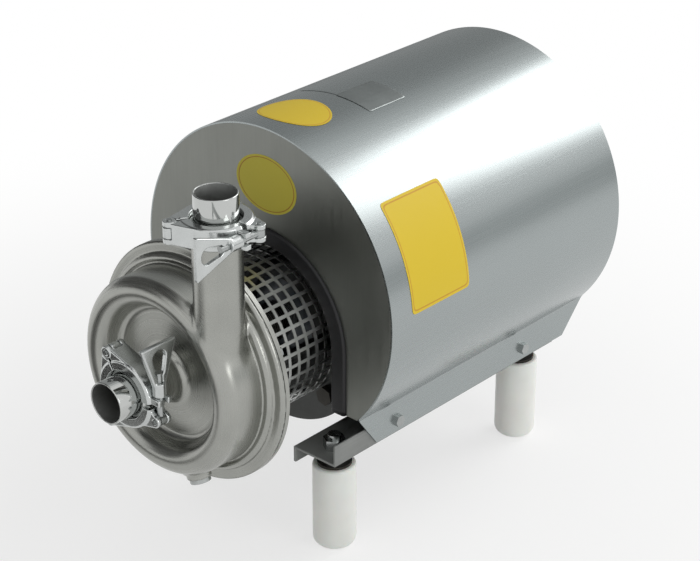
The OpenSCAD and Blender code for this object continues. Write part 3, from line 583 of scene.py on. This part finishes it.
@dataclass
class Casing:
    """Volute casing: flange, bead, volute ring, dish, both necks and the drain boss as one blended shell."""

    shaft_h: float = SHAFT_H
    joint: float = 158.5
    flange_r: float = 111.0
    flange_t: float = 5.0
    edge_r: float = 1.5
    bead_r: float = 97.0
    bead_bulge: float = 4.2
    bead_turn: float = 130.0
    groove_end: float = 9.5
    ring_r: float = 92.0
    crest: float = 208.0
    crest_r: float = 13.0
    dish_fillet: float = 7.0
    dish_r: float = 62.0
    dish_drop: float = 21.0
    neck_r: float = 21.5
    neck_fillet: float = 9.0
    mouth_r: float = 6.0
    wall: float = 3.0
    neck_wall: float = 3.2
    inlet_joint: float = 231.5
    outlet_x: float = 62.0
    outlet_s: float = 186.0
    outlet_rise: float = 158.0
    neck_clear: float = 82.0
    rim_r: float = RIM_R
    rim_t: float = RIM_T
    rim_slope: float = RIM_SLOPE
    face_back: float = 1.0
    drain_angle: float = -72.0
    drain_r: float = 11.0
    drain_end: float = 99.0
    drain_bore: float = 6.0
    drain_start: float = 12.0
    neck_blend: float = 4.0
    boss_blend: float = 6.0
    step: float = 1.6
    margin: float = 4.0
    bead_foot: float = 4.5
    bead_lift: float = 1.0
    dish_inset: float = 4.6
    neck_step: float = 3.0
    neck_short: float = 7.0
    outlet_short: float = 3.0
    chamber_crest_r: float = 10.0
    chamber_dish: float = 3.0
    overrun: float = 9.0
    boss_root: float = 8.0
    groove_points: int = 10
    newton_steps: int = 3
    least_slope: float = 0.25

    def outside(self) -> Array:
        """Returns the outer half section as points of (radius, station)."""
        front = self.joint + self.flange_t
        dish = self.crest - self.dish_drop
        foot = self.neck_r + self.neck_fillet
        neck_end = self.inlet_joint - self.neck_short
        return np.concatenate([
            [[-self.flange_r, self.joint], [self.flange_r, self.joint]],
            arc(self.flange_r - self.edge_r, front - self.edge_r, self.edge_r, 0, 90, 5),
            [[self.bead_r + self.bead_foot, front]],
            arc(self.bead_r, front + self.bead_lift, self.bead_bulge, 0, self.bead_turn, 12),
            self.groove(front),
            arc(self.ring_r - self.crest_r, self.crest - self.crest_r, self.crest_r, 0, 160, 24),
            arc(self.dish_r - self.dish_inset, dish + self.dish_fillet, self.dish_fillet, -20, -85, 8),
            arc(foot, dish + self.neck_step + self.neck_fillet, self.neck_fillet, 270, 180, 8),
            [[self.neck_r, neck_end], [-self.neck_r, neck_end]]])

    def groove(self, front: float) -> Array:
        """Smooth bend from the bead down to the volute ring.

        Args:
            front: station of the flange's front face.

        Returns:
            Points of (radius, station).
        """
        turn = math.radians(self.bead_turn)
        around = np.array([math.cos(turn), math.sin(turn)])
        begin = np.array([self.bead_r, front + self.bead_lift]) + self.bead_bulge * around
        fall = (begin[0] - self.ring_r) / math.tan(turn)
        corner = np.array([self.ring_r, begin[1] + fall])
        end = np.array([self.ring_r, front + self.groove_end])
        return bent(begin, corner, end, self.groove_points)[1:]

    def inside(self) -> Array:
        """Returns the chamber's half section as points of (radius, station)."""
        r = self.ring_r - self.wall
        bore = self.neck_r - self.neck_wall
        floor = self.crest - self.dish_drop - self.wall
        start, end = self.joint - self.overrun, self.inlet_joint + self.overrun
        return np.concatenate([
            [[-r, start], [r, start]],
            arc(r - self.chamber_crest_r, self.crest - self.crest_r, self.chamber_crest_r, 0, 160, 16),
            [[self.dish_r + self.chamber_dish, floor]],
            arc(bore + self.mouth_r, floor + self.mouth_r, self.mouth_r, 270, 180, 8),
            [[bore, end], [-bore, end]]])

    def rim(self, end: float) -> Array:
        """Half section of a neck's clamp flange that ends at a distance along its axis.

        Args:
            end: distance of the joint along the neck's axis.

        Returns:
            Points of (radius, distance).
        """
        face = end - self.face_back
        back = face - self.rim_t
        slope = (self.rim_r - self.neck_r) * self.rim_slope
        return np.array([[-self.rim_r, face], [-self.rim_r, back], [-self.neck_r, back - slope],
                         [self.neck_r, back - slope], [self.rim_r, back], [self.rim_r, face]])

    def distance(self, place: Array) -> Array:
        """Signed distance to the casing's wall: blended outer forms less the chamber and its bores.

        Args:
            place: points, with x, y and z last.

        Returns:
            Distance of each point, negative in the metal.
        """
        x, height = place[..., 0], place[..., 2] - self.shaft_h
        station = -place[..., 1]
        radius = np.hypot(x, height)
        from_outlet = np.hypot(x - self.outlet_x, station - self.outlet_s)
        keep_out = self.neck_clear - radius
        body = polygon_field(self.outside(), radius, station)
        top = height - self.outlet_rise + self.outlet_short
        neck = np.maximum(from_outlet - self.neck_r, np.maximum(-height, top))
        neck = np.maximum(neck, keep_out)
        turn = math.radians(self.drain_angle)
        out = x * math.cos(turn) + height * math.sin(turn)
        aside = np.hypot(height * math.cos(turn) - x * math.sin(turn), station - self.outlet_s)
        root = self.ring_r - self.boss_root - out
        boss = np.maximum(aside - self.drain_r, np.maximum(root, out - self.drain_end))
        metal = blended(blended(body, neck, self.neck_blend), boss, self.boss_blend)
        metal = np.minimum(metal, polygon_field(self.rim(self.inlet_joint), radius, station))
        metal = np.minimum(metal, polygon_field(self.rim(self.outlet_rise), from_outlet, height))
        bore = np.maximum(from_outlet - self.neck_r + self.neck_wall, -height)
        bore = np.maximum(bore, keep_out + self.wall)
        drain = np.maximum(aside - self.drain_bore, self.ring_r - self.drain_start - out)
        hollow = np.minimum(polygon_field(self.inside(), radius, station), np.minimum(bore, drain))
        return np.maximum(metal, -hollow)

    def slope(self, place: Array, reach: float = 0.2) -> Array:
        """Gradient of the field, from its differences over a small reach on each axis.

        Args:
            place: points, with x, y and z last.
            reach: distance to each side.

        Returns:
            Gradient at each point.
        """
        change = [self.distance(place + s) - self.distance(place - s) for s in np.eye(3) * reach]
        return np.stack(change, -1) / (2 * reach)

    def build(self) -> None:
        """Nets the field's zero surface and pulls the points onto it with a few Newton steps."""
        low = np.array([-self.flange_r, -self.inlet_joint, self.shaft_h - self.flange_r]) - self.margin
        high = np.array([self.flange_r, -self.joint, self.shaft_h + self.outlet_rise]) + self.margin
        axes = [np.arange(a, b, self.step) for a, b in zip(low, high)]
        grid = np.stack(np.meshgrid(*axes, indexing="ij"), axis=-1)
        points, quads = surface_net(self.distance(grid), low, self.step)
        for _ in range(self.newton_steps):
            slope = self.slope(points)
            size = np.maximum((slope ** 2).sum(-1), self.least_slope)
            move = np.clip(self.distance(points) / size, -self.step / 2, self.step / 2)
            points = points - move[:, None] * slope
        make_piece("casing_shell", points, quads, "frame", CASING_STEEL,
                   ("volute_casing", "inlet_neck"), False)


@dataclass
class TubeEnd:
    """Tube end with its clamp flange, as one revolved wall with a rounded mouth."""

    side: str
    centre: Place
    axis: Axis
    tube_r: float = 19.05
    bore_r: float = 17.55
    rim_r: float = RIM_R
    rim_t: float = RIM_T
    rim_slope: float = RIM_SLOPE
    face: float = 1.0
    length: float = 30.5
    edge: float = 0.4
    toe: float = 2.0
    toe_drop: float = 0.4
    turns: int = 128

    def build(self) -> None:
        """Carries the wall's section round the tube's axis: face, rim, cone, toe fillet, tube and mouth."""
        back = self.face + self.rim_t
        root = back + (self.rim_r - self.tube_r) * self.rim_slope
        middle = (self.tube_r + self.bore_r) / 2
        half = (self.tube_r - self.bore_r) / 2
        profile = np.concatenate([
            [[self.bore_r, self.face + self.edge], [self.bore_r + self.edge, self.face]],
            arc(self.rim_r - self.edge, self.face + self.edge, self.edge, -90, 0, 4),
            arc(self.rim_r - self.edge, back - self.edge, self.edge, 0, 70, 4),
            arc(self.tube_r + self.toe, root + self.toe - self.toe_drop, self.toe, 250, 180, 6),
            [[self.tube_r, self.length / 2]],
            arc(middle, self.length - half, half, 0, 180, 8),
            [[self.bore_r, self.length / 2]]])
        grid = revolved(profile, self.centre, self.axis, self.turns)
        faces = grid_faces(grid.shape[0], grid.shape[1], True, True)
        piece = make_piece(self.side + "_tube_end", grid, faces, "frame", MIRROR_STEEL,
                           (self.side + "_ferrule",))
        piece.data.materials.append(BORE_STEEL.material())
        along = 1 if self.axis is Axis.FORWARD else 2
        middles = np.empty(3 * len(piece.data.polygons), np.float32)
        piece.data.polygons.foreach_get("center", middles)
        offset = np.delete(middles.reshape(-1, 3) / MM - np.array(self.centre), along, axis=1)
        in_bore = np.hypot(offset[:, 0], offset[:, 1]) < self.bore_r + self.edge / 2
        piece.data.polygons.foreach_set("material_index", in_bore.astype(np.int32))


@dataclass
class Hood:
    """Rolled hood: wrapper with bent skirts, and the rubber edging of the arch in its front plate."""

    axis_z: float = 231.5
    radius: float = 150.0
    sheet: float = 1.5
    front: float = -68.0
    rear: float = 262.0
    bend_angle: float = 41.5
    bend_r: float = 6.0
    skirt_bottom: float = 100.0
    front_slope: float = 24.0
    rear_slope: float = 30.0
    shaft_h: float = SHAFT_H
    arch_r: float = 84.0
    trim_in: float = 3.5
    trim_out: float = 13.0
    trim_lip: float = 3.0
    trim_flat: float = 0.2
    sharp: float = 40.0
    top_steps: int = 160
    bend_points: int = 7
    skirt_points: int = 8
    rows: int = 40
    leg_points: int = 12
    arch_points: int = 97

    def bend_height(self) -> float:
        """Returns the height at which the round top bends into the skirts."""
        return self.axis_z - self.radius * math.sin(math.radians(self.bend_angle))

    def wrapper(self) -> None:
        """Carries the section along Y: skirt, bend, round top, bend, skirt, with sloped skirt ends.

        At a share t of its length a point lies at y = front(z) + t * (rear(z) - front(z)), where the ends
        slope in evenly from the bend down to the skirt's bottom.
        """
        turn = math.radians(self.bend_angle)
        side, bend = self.radius * math.cos(turn), self.bend_height()
        cut = self.bend_r * math.tan(turn / 2)
        lead = math.degrees(cut / self.radius)
        begin, end = lead - self.bend_angle, 180 + self.bend_angle - lead
        top = arc(0, self.axis_z, self.radius, begin, end, self.top_steps)
        curve = bent(np.array([side, bend - cut]), np.array([side, bend]), top[0], self.bend_points)
        heights = np.linspace(self.skirt_bottom, bend - cut, self.skirt_points)
        skirt = np.stack([np.full(self.skirt_points, side), heights], axis=1)
        right = np.concatenate([skirt[:-1], curve[:-1]])
        section = np.concatenate([right, top, right[::-1] * [-1, 1]])
        drop = np.clip((bend - section[:, 1]) / (bend - self.skirt_bottom), 0, 1)
        first = self.front + self.front_slope * drop
        last = self.rear - self.rear_slope * drop
        y = first[:, None] + np.linspace(0, 1, self.rows) * (last - first)[:, None]
        x, z = (np.repeat(section[:, i:i + 1], self.rows, axis=1) for i in (0, 1))
        grid = np.stack([x, y, z], axis=-1)
        faces = grid_faces(grid.shape[0], grid.shape[1], False, False)
        piece = make_piece("hood_shell", grid, faces[:, ::-1], "frame", HOOD_STEEL,
                           ("hood_wrapper",), False)
        wall = piece.modifiers.new("sheet", "SOLIDIFY")
        wall.thickness = self.sheet * MM
        wall.offset = -1.0
        wall.use_even_offset = True
        keep_sharp(piece, self.sharp)

    def edging(self) -> None:
        """Carries a rounded section along the arch: up one leg, round the half circle and down the other.

        The section is a rectangle with round corners, laid out by (reach from the arch's edge, y).
        """
        round_r = self.trim_lip - self.trim_flat
        right, left = self.trim_out - round_r, round_r - self.trim_in
        front = self.front - self.trim_lip + round_r
        back = self.front + self.sheet + self.trim_lip - round_r
        corners = ((right, back, 0), (left, back, 90), (left, front, 180), (right, front, 270))
        section = np.concatenate([arc(u, v, round_r, start, start + 90, 6) for u, v, start in corners])
        leg = np.linspace(self.bend_height(), self.shaft_h, self.leg_points)[:-1]
        turn = np.radians(np.linspace(0, 180, self.arch_points))
        straight = np.ones(len(leg))
        centre_z = np.concatenate([leg, np.full(self.arch_points, self.shaft_h), leg[::-1]])
        out_x = np.concatenate([straight, np.cos(turn), -straight])
        out_z = np.concatenate([0 * straight, np.sin(turn), 0 * straight])
        reach = self.arch_r + section[:, 0]
        x = out_x[:, None] * reach
        z = centre_z[:, None] + out_z[:, None] * reach
        y = np.repeat(section[None, :, 1], len(out_x), axis=0)
        grid = np.stack([x, y, z], axis=-1)
        faces = grid_faces(grid.shape[0], grid.shape[1], False, True)
        count = grid.shape[1]
        piece = make_piece("arch_edging", grid, faces, "frame", RUBBER, ("arch_trim",), False)
        work = bmesh.new()
        work.from_mesh(piece.data)
        work.verts.ensure_lookup_table()
        last = len(work.verts) - count
        work.faces.new([work.verts[i] for i in range(count)])
        work.faces.new([work.verts[last + i] for i in range(count)])
        bmesh.ops.recalc_face_normals(work, faces=work.faces)
        work.to_mesh(piece.data)
        work.free()

    def build(self) -> None:
        """Builds the hood's modelled pieces."""
        self.wrapper()
        self.edging()


@dataclass
class Label:
    """Thin sheet on the hood or its front plate, star-shaped about its middle."""

    name: str
    half_width: float
    half_height: float
    power: float
    finish: Finish
    slot: str
    angle: float = 90.0
    y: float = 0.0
    on_plate: bool = False
    x: float = 0.0
    z: float = 0.0
    hood: Hood = field(default_factory=Hood)
    lift: float = 0.15
    thick: float = 0.12
    crisp: bool = True
    rings: int = 16
    turns: int = 288

    def build(self) -> None:
        """Lays a superellipse |u/a|^p + |v/b|^p = 1 on its surface, from the middle out in rings.

        On the hood u is the arc length from the label's middle and v runs along Y. On the plate u is x and
        v is z.
        """
        share = np.linspace(0, 1, self.rings)
        turn = np.linspace(0, 2 * math.pi, self.turns, endpoint=False)
        cos, sin = np.cos(turn), np.sin(turn)
        reach = np.abs(cos / self.half_width) ** self.power + np.abs(sin / self.half_height) ** self.power
        reach = reach ** (-1 / self.power)
        u, v = share[:, None] * (reach * cos), share[:, None] * (reach * sin)
        faces = grid_faces(self.rings, self.turns, False, True)
        if self.on_plate:
            y = np.full(u.shape, self.hood.front - self.lift)
            grid = np.stack([self.x + u, y, self.z + v], axis=-1)
        else:
            r = self.hood.radius + self.lift
            at = math.radians(self.angle) - u / self.hood.radius
            grid = np.stack([r * np.cos(at), self.y + v, self.hood.axis_z + r * np.sin(at)], axis=-1)
            faces = faces[:, ::-1]
        piece = make_piece(self.name, grid, faces, "frame", self.finish, (), False)
        layer = piece.data.uv_layers.new(name=SHARE_MAP)
        corner = np.empty(len(piece.data.loops), np.int32)
        piece.data.loops.foreach_get("vertex_index", corner)
        ring = share[corner // self.turns]
        layer.data.foreach_set("uv", np.stack([ring, np.zeros_like(ring)], axis=1).ravel())
        wall = piece.modifiers.new("vinyl", "SOLIDIFY")
        wall.thickness = self.thick * MM
        wall.offset = -1.0
        if self.crisp:
            keep_sharp(piece, self.hood.sharp)


@dataclass
class Feet:
    """Four turned feet with a round foot and a small top edge."""

    radius: float = 20.0
    height: float = 85.0
    bottom_r: float = 9.0
    top_r: float = 2.5
    bore_r: float = 6.0
    bore_depth: float = 30.0
    spread: float = 89.0
    places: tuple[float, float] = (-75.0, 191.0)
    sole_inset: float = 4.0
    bore_edge: float = 1.0
    turns: int = 96

    def build(self) -> None:
        """Carries the foot's section round each stud: bottom, rounded edge, side, top edge and stud hole."""
        profile = np.concatenate([
            [[0.0, 0.0], [self.radius - self.bottom_r - self.sole_inset, 0.0]],
            arc(self.radius - self.bottom_r, self.bottom_r, self.bottom_r, -90, 0, 14),
            [[self.radius, self.height / 2]],
            arc(self.radius - self.top_r, self.height - self.top_r, self.top_r, 0, 90, 8),
            [[self.bore_r + self.bore_edge, self.height], [self.bore_r, self.height - self.bore_edge],
             [self.bore_r, self.height - self.bore_depth], [0.0, self.height - self.bore_depth]]])
        places = product((-self.spread, self.spread), self.places)
        grids = np.stack([revolved(profile, (x, y, 0.0), Axis.UP, self.turns) for x, y in places])
        count, rows, columns = grids.shape[:3]
        faces = grid_faces(rows, columns, False, True)
        all_faces = np.concatenate([faces + i * rows * columns for i in range(count)])
        make_piece("turned_feet", grids, all_faces, "frame", FOOT_PLASTIC, ("feet",))


@dataclass
class CadNodes:
    """Nodes that keep their own solids: each gets its finish and smooth shading, and the castings and rails
    get softened edges.
    """

    voxel: float = 0.55
    bend: float = 1.0
    bend_steps: int = 3
    sharp: float = 32.0
    tumble_share: float = 0.5
    tumble_times: int = 5
    join_reach: float = 0.01

    CAST: ClassVar[tuple[str, ...]] = tuple(
        side + piece for side in ("inlet_", "outlet_")
        for piece in ("middle_jaw", "nut_jaw", "bolt_jaw", "wing_nut"))
    BENT: ClassVar[tuple[str, ...]] = ("left_rail", "right_rail")
    WEAR: ClassVar[dict[Finish, tuple[str, ...]]] = {
        FASTENER_STEEL: ("casing_bolts", "guard_screws", "inlet_hinge_pins", "inlet_bolt_pin",
                         "outlet_hinge_pins", "outlet_bolt_pin", "inlet_swing_bolt", "outlet_swing_bolt",
                         "hood_bolts", "foot_studs", "foot_nuts", "motor_foot_bolts", "drain_plug",
                         "impeller_nut"),
        CASING_STEEL: ("back_plate", "impeller"),
        MACHINED_STEEL: ("pump_shaft", "motor_shaft", "motor_rotor", "motor_front_bearing",
                         "motor_rear_bearing"),
        SEAL_CARBON: ("seal_seat", "seal_ring"),
        RUBBER: ("casing_o_ring",),
        GASKET: ("inlet_gasket", "outlet_gasket"),
        # The lantern's dark grey is painted shade under the guard
        SHADED_LANTERN_STEEL: ("adapter_lantern",),
        PERFORATED_STEEL: ("coupling_guard",),
        MOTOR_ENAMEL: ("motor_frame", "motor_front_shield", "motor_rear_shield", "motor_fan_cowl",
                       "terminal_box", "terminal_lid"),
        COPPER: ("motor_stator",),
        FAN_PLASTIC: ("motor_fan",),
        HOOD_STEEL: ("hood_rear_plate",),
        PLATE_STEEL: ("hood_front_plate",),
        RAIL_STEEL: BENT,
        DARK_WASHER: ("foot_washers", "motor_flange_bolts"),
        CAST_STEEL: CAST,
    }

    def dress(self) -> None:
        """Gives every kept node its finish and its modifiers."""
        for finish, names in self.WEAR.items():
            for name in names:
                self.dress_one(name, finish)

    def dress_one(self, name: str, finish: Finish) -> None:
        """Gives one node its finish, joins its loose triangles and shades it smooth up to the sharp angle.

        Args:
            name: the node.
            finish: what it wears.
        """
        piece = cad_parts[name]
        piece.data.materials.clear()
        piece.data.materials.append(finish.material())
        normals = piece.data.attributes.get("custom_normal")
        if normals is not None:
            piece.data.attributes.remove(normals)
        piece.data.shade_smooth()
        join = piece.modifiers.new("join", "WELD")
        join.merge_threshold = self.join_reach * MM
        if name in self.CAST:
            skin = piece.modifiers.new("cast_skin", "REMESH")
            skin.mode = "VOXEL"
            skin.voxel_size = self.voxel * MM
            skin.use_smooth_shade = True
            soft = piece.modifiers.new("tumbled", "SMOOTH")
            soft.factor = self.tumble_share
            soft.iterations = self.tumble_times
        else:
            if name in self.BENT:
                bend = piece.modifiers.new("bends", "BEVEL")
                bend.width = self.bend * MM
                bend.segments = self.bend_steps
                bend.limit_method = "ANGLE"
                bend.angle_limit = math.radians(self.sharp)
            keep_sharp(piece, self.sharp)
        log.info("node %s: %s", name, finish.name)


@dataclass(frozen=True)
class Card:
    """Grey card beside the set, out of the picture, for polished metal to mirror."""

    name: str
    tone: str
    corners: tuple[Place, Place, Place, Place]

    def stand(self) -> None:
        """Stands the card with an even glow that neither the camera nor dull surfaces see."""
        material = bpy.data.materials.new(self.name)
        tree = bare_tree(material)
        felt = add_node(tree, "ShaderNodeEmission", {"Color": linear(self.tone), "Strength": 1.0})
        add_node(tree, "ShaderNodeOutputMaterial", {"Surface": felt.outputs["Emission"]})
        card = flat_sheet(self.name, self.corners, material)
        card.visible_camera = False
        card.visible_shadow = False
        card.visible_diffuse = False


# The low and dark cards lie where the casing's dish mirrors the floor. The left and top cards shade the
# casing and the clamps. The rear, upper, fade, pale and back cards grade the hood's round top, and the right
# card greys the hood's side.
CARDS = (
    Card("low_card", "8C8C8A", ((-0.1, -0.4, 0.001), (-0.4, -0.34, 0.001),
                                (-0.46, -0.66, 0.001), (-0.14, -0.72, 0.001))),
    Card("dark_card", "2A2A28", ((-0.17, -0.45, 0.002), (-0.34, -0.42, 0.002),
                                 (-0.38, -0.62, 0.002), (-0.19, -0.65, 0.002))),
    Card("left_card", "666666", ((-1.8, -3.0, 0.3), (-1.8, 0.5, 0.3), (-1.8, 0.5, 2.2), (-1.8, -3.0, 2.2))),
    Card("top_card", "505050", ((-1.8, -3.0, 2.2), (-1.8, 0.5, 2.2), (-0.3, 0.5, 2.8), (-0.3, -3.0, 2.8))),
    Card("rear_card", "A2A4A4", ((-1.8, 0.5, 0.0), (-1.8, 3.4, 0.0), (-1.8, 3.4, 2.2), (-1.8, 0.5, 2.2))),
    Card("upper_card", "A6A8A8", ((-1.8, 0.5, 2.2), (-1.8, 3.4, 2.2), (-1.2, 3.4, 2.44), (-1.2, 0.5, 2.44))),
    Card("fade_card", "CCCECE", ((-1.2, 0.5, 2.44), (-1.2, 3.4, 2.44), (-0.7, 3.4, 2.64), (-0.7, 0.5, 2.64))),
    Card("pale_card", "F0F2F2", ((-0.7, 0.5, 2.64), (-0.7, 3.4, 2.64), (-0.3, 3.4, 2.8), (-0.3, 0.5, 2.8))),
    Card("back_card", "8A8C8C", ((-0.4, 0.2, 0.001), (-1.8, 0.2, 0.001),
                                 (-1.8, 3.4, 0.001), (-0.4, 3.4, 0.001))),
    Card("right_card", "C8CBCB", ((1.0, 2.3, 0.0), (2.3, 1.2, 0.0), (2.3, 1.2, 0.55), (1.0, 2.3, 0.55))),
)


@dataclass
class Studio:
    """White surround and floor, soft lamps, mirrored cards and the camera."""

    camera_at: Place = (1.1561, -1.2379, 1.0544)
    camera_look: Place = (-0.5990, 0.6645, -0.4468)
    lens: float = 105.75
    sensor: float = 36.0
    floor_half: float = 6.0
    near: float = 0.3
    far: float = 0.9
    lift: float = 0.65
    sky: float = 0.54

    def camera(self) -> None:
        """Places the camera at the photograph's viewing angle."""
        data = bpy.data.cameras.new("camera")
        data.lens = self.lens
        data.sensor_width = self.sensor
        data.sensor_fit = "HORIZONTAL"
        eye = put_in_scene("camera", data)
        eye.location = self.camera_at
        eye.rotation_euler = Vector(self.camera_look).to_track_quat("-Z", "Y").to_euler()
        bpy.context.scene.camera = eye

    def world(self) -> None:
        """Lights the scene from a white surround, which the camera and polished metal see as plain white."""
        world = bpy.data.worlds.new("surround")
        bpy.context.scene.world = world
        tree = bare_tree(world)
        strength = add_node(tree, "ShaderNodeMapRange", {
            "Value": seen_ray(tree), "To Min": self.sky, "To Max": 1.0})
        back = add_node(tree, "ShaderNodeBackground", {
            "Color": (1, 1, 1, 1), "Strength": strength.outputs["Result"]})
        add_node(tree, "ShaderNodeOutputWorld", {"Surface": back.outputs["Background"]})

    def floor(self) -> None:
        """Lays a pale floor that keeps the object's shadow and fades to white away from it."""
        material = bpy.data.materials.new("white_floor")
        tree = bare_tree(material)
        place = add_node(tree, "ShaderNodeTexCoord").outputs["Object"]
        reach = add_node(tree, "ShaderNodeVectorMath", {0: place}, operation="LENGTH")
        fade = add_node(tree, "ShaderNodeMapRange", {
            "Value": reach.outputs["Value"], "From Min": self.near, "From Max": self.far,
            "To Min": self.lift}, interpolation_type="SMOOTHSTEP")
        share = add_node(tree, "ShaderNodeMath", {0: fade.outputs["Result"], 1: seen_ray(tree)},
                         operation="MULTIPLY")
        paper = add_node(tree, "ShaderNodeBsdfDiffuse", {"Color": linear("FBFBFA")})
        white = add_node(tree, "ShaderNodeEmission", {"Color": (1, 1, 1, 1), "Strength": 1.0})
        mix = add_node(tree, "ShaderNodeMixShader", {
            0: share.outputs["Value"], 1: paper.outputs["BSDF"], 2: white.outputs["Emission"]})
        add_node(tree, "ShaderNodeOutputMaterial", {"Surface": mix.outputs["Shader"]})
        half = self.floor_half
        corners = ((-half, -half, 0.0), (half, -half, 0.0), (half, half, 0.0), (-half, half, 0.0))
        floor = flat_sheet("floor", corners, material)

    def lamp(self, name: str, at: Place, to: Place, width_along: Place, size: tuple[float, float],
             watts: float) -> None:
        """Hangs an oval soft lamp that faces a point.

        Args:
            name: the lamp's name.
            at: its place in metres.
            to: the point it faces.
            width_along: direction of its width.
            size: its width and length in metres.
            watts: its power.
        """
        data = bpy.data.lights.new(name, "AREA")
        data.shape = "ELLIPSE"
        data.size, data.size_y = size
        data.energy = watts
        back = (Vector(at) - Vector(to)).normalized()
        up = back.cross(Vector(width_along)).normalized()
        lamp = put_in_scene(name, data)
        lamp.location = at
        lamp.rotation_euler = Matrix((up.cross(back), up, back)).transposed().to_euler()

    def build(self) -> None:
        """Sets the stage. The band lamp draws the hood's light band, and the side lamp fills its side."""
        bpy.context.scene.view_settings.view_transform = "Standard"
        self.camera()
        self.world()
        self.floor()
        self.lamp("band", (0.49, 1.64, 1.25), (0.1, 0.1, 0.35), (-0.9, 0.0, 0.43), (1.35, 1.45), 15.0)
        self.lamp("side", (2.2, 0.1, 1.0), (0.0, -0.05, 0.2), (0.0, 1.0, 0.0), (1.2, 1.0), 8.0)
        for card in CARDS:
            card.stand()


def main() -> None:
    """Builds the stage and the sub-assemblies in order."""
    logging.basicConfig(level=logging.INFO, format="%(message)s")
    Studio().build()
    casing = Casing()
    casing.build()
    outlet_top = casing.shaft_h + casing.outlet_rise
    TubeEnd("inlet", (0.0, -casing.inlet_joint, casing.shaft_h), Axis.FORWARD).build()
    TubeEnd("outlet", (casing.outlet_x, -casing.outlet_s, outlet_top), Axis.UP).build()
    Hood().build()
    Label("side_label", 51.5, 38.5, 24.0, YELLOW_VINYL, "hood_steel", angle=23.0, y=-3.0).build()
    Label("top_label", 37.2, 28.2, 2.0, YELLOW_VINYL, "hood_steel", angle=92.6, y=-21.0).build()
    # The front label wears painted shade for the shaded front plate
    Label("front_label", 36.3, 27.0, 2.0, SHADED_FRONT_VINYL, "front_plate_steel",
          on_plate=True, x=3.2, z=328.5).build()
    Label("plate_seam", 24.0, 0.5, 14.0, BARE_PLATE, "hood_steel", angle=100.0, y=31.0).build()
    Label("bare_plate", 21.0, 24.3, 24.0, BARE_PLATE, "hood_steel",
          angle=83.5, y=53.5, crisp=False).build()
    Feet().build()
    CadNodes().dress()


if __name__ == "__main__":
    main()
